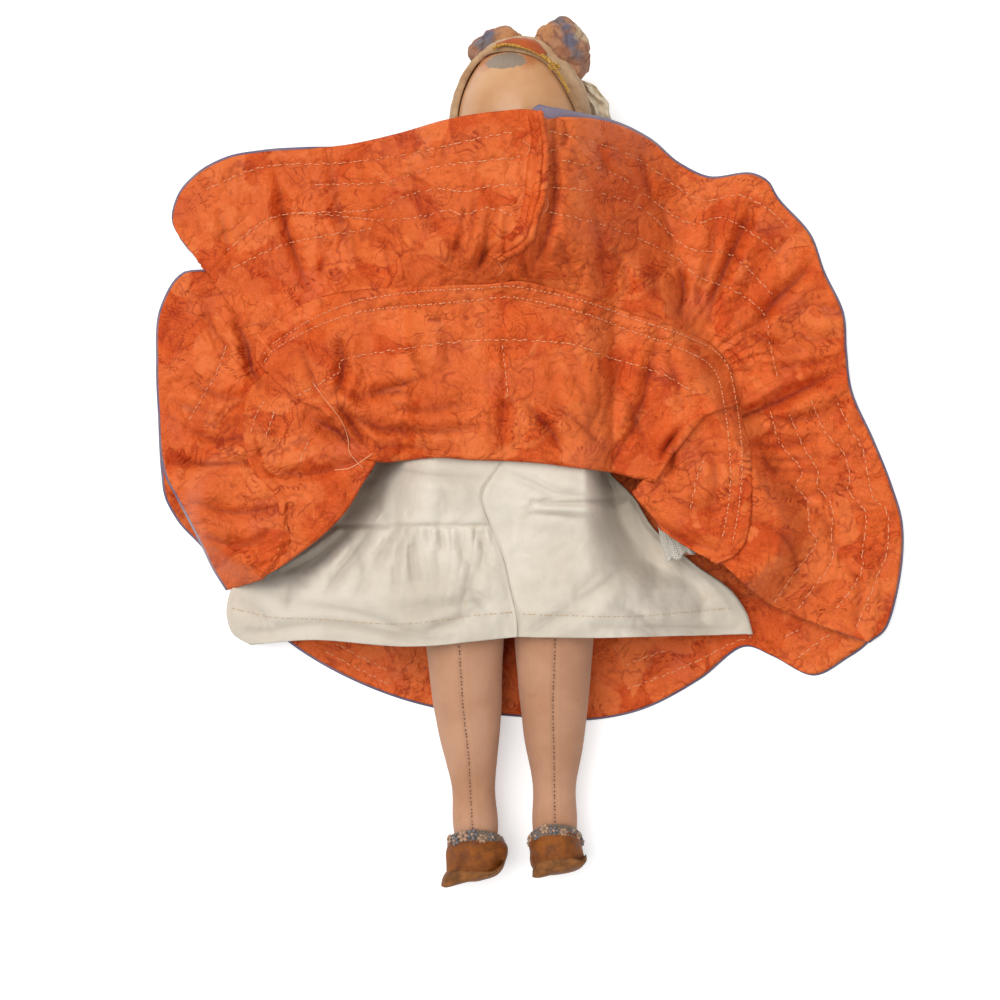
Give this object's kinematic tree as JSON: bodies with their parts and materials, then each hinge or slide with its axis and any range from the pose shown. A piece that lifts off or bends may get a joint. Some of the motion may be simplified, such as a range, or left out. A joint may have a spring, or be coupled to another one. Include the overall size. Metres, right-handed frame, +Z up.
{
  "type": "folk costume doll",
  "caption": "Cloth-bodied folk costume doll lying on its back, its lined two-tier skirt turned up over torso and face, with drawers, stuffed legs and leather shoes.",
  "frame": {"origin": "on the table under the middle of the doll's bounding box", "axes": "+X to the viewer's right, +Y along the doll from the feet to the head, +Z up from the table towards the viewer"},
  "size_m": [0.2832, 0.3214, 0.0607],
  "materials": {
    "orange_damask": "silky woven damask, creased",
    "outer_silk": "slate violet silk",
    "ivory_cotton": "plain cotton lawn",
    "body_cotton": "fine pink-tan cotton",
    "stuffing": "loose fibre stuffing",
    "string": "twisted cotton string",
    "painted_composition": "painted composition, varnished, worn at the hairline",
    "scarf_cloth": "thin beige scarf cloth",
    "gold_trim": "twisted yellow-gold cord",
    "rust_band": "rust-orange band",
    "puff_cloth": "gathered mottled cloth",
    "gauze": "cream gauze and lace",
    "flower_braid": "narrow flowered braid",
    "shoe_leather": "thin brown leather",
    "sole_leather": "tan sole leather"
  },
  "bodies": {
    "torso": {"torso_cover": "body_cotton", "torso_stuffing": "stuffing", "neck_tie": "string", "blouse_bodice": "ivory_cotton", "drawers_yoke": "ivory_cotton", "drawers_waistband": "ivory_cotton", "skirt_waistband": "outer_silk", "skirt_lining_upper_front": "orange_damask", "skirt_lining_lower_front": "orange_damask", "skirt_outer_front": "outer_silk", "skirt_lining_lower_back": "orange_damask", "skirt_lining_upper_back": "orange_damask", "skirt_outer_back": "outer_silk", "skirt_seam_allowance": "orange_damask"},
    "head": {"head_shell": "painted_composition", "headscarf": "scarf_cloth", "scarf_gold_trim": "gold_trim", "scarf_rust_band": "rust_band", "large_puff": "puff_cloth", "small_puff": "puff_cloth", "scarf_gauze_tail": "gauze"},
    "arm_right": {"arm_cover_right": "body_cotton", "arm_stuffing_right": "stuffing", "hand_right": "body_cotton", "sleeve_right": "ivory_cotton", "lace_cuff_right": "gauze"},
    "arm_left": {"arm_cover_left": "body_cotton", "arm_stuffing_left": "stuffing", "hand_left": "body_cotton", "sleeve_left": "ivory_cotton", "lace_cuff_left": "gauze"},
    "leg_right": {"leg_cover_right": "body_cotton", "leg_stuffing_right": "stuffing", "shoe_braid_right": "flower_braid", "shoe_upper_right": "shoe_leather", "foot_right": "body_cotton", "shoe_sole_right": "sole_leather", "drawers_leg_right": "ivory_cotton"},
    "leg_left": {"leg_cover_left": "body_cotton", "leg_stuffing_left": "stuffing", "shoe_braid_left": "flower_braid", "shoe_upper_left": "shoe_leather", "foot_left": "body_cotton", "shoe_sole_left": "sole_leather", "drawers_leg_left": "ivory_cotton"}
  },
  "joints": [
    {"name": "hip_right", "type": "hinge", "parent": "torso", "child": "leg_right", "pos_m": [-0.0254, -0.01654, 0.0365], "axis": [-1, 0, 0], "range_deg": [0, 90], "deforming": ["drawers_leg_right"]},
    {"name": "hip_left", "type": "hinge", "parent": "torso", "child": "leg_left", "pos_m": [0.0078, -0.01654, 0.0365], "axis": [-1, 0, 0], "range_deg": [0, 90], "deforming": ["drawers_leg_left"]},
    {"name": "shoulder_right", "type": "hinge", "parent": "torso", "child": "arm_right", "pos_m": [-0.04227, 0.05711, 0.016], "axis": [0, 0, -1], "range_deg": [-6, 8]},
    {"name": "shoulder_left", "type": "hinge", "parent": "torso", "child": "arm_left", "pos_m": [0.02531, 0.05711, 0.016], "axis": [0, 0, 1], "range_deg": [-4, 10]},
    {"name": "neck_turn", "type": "hinge", "parent": "torso", "child": "head", "pos_m": [-0.00881, 0.07846, 0.022], "axis": [0, 1, 0], "range_deg": [-30, 30]}
  ]
}
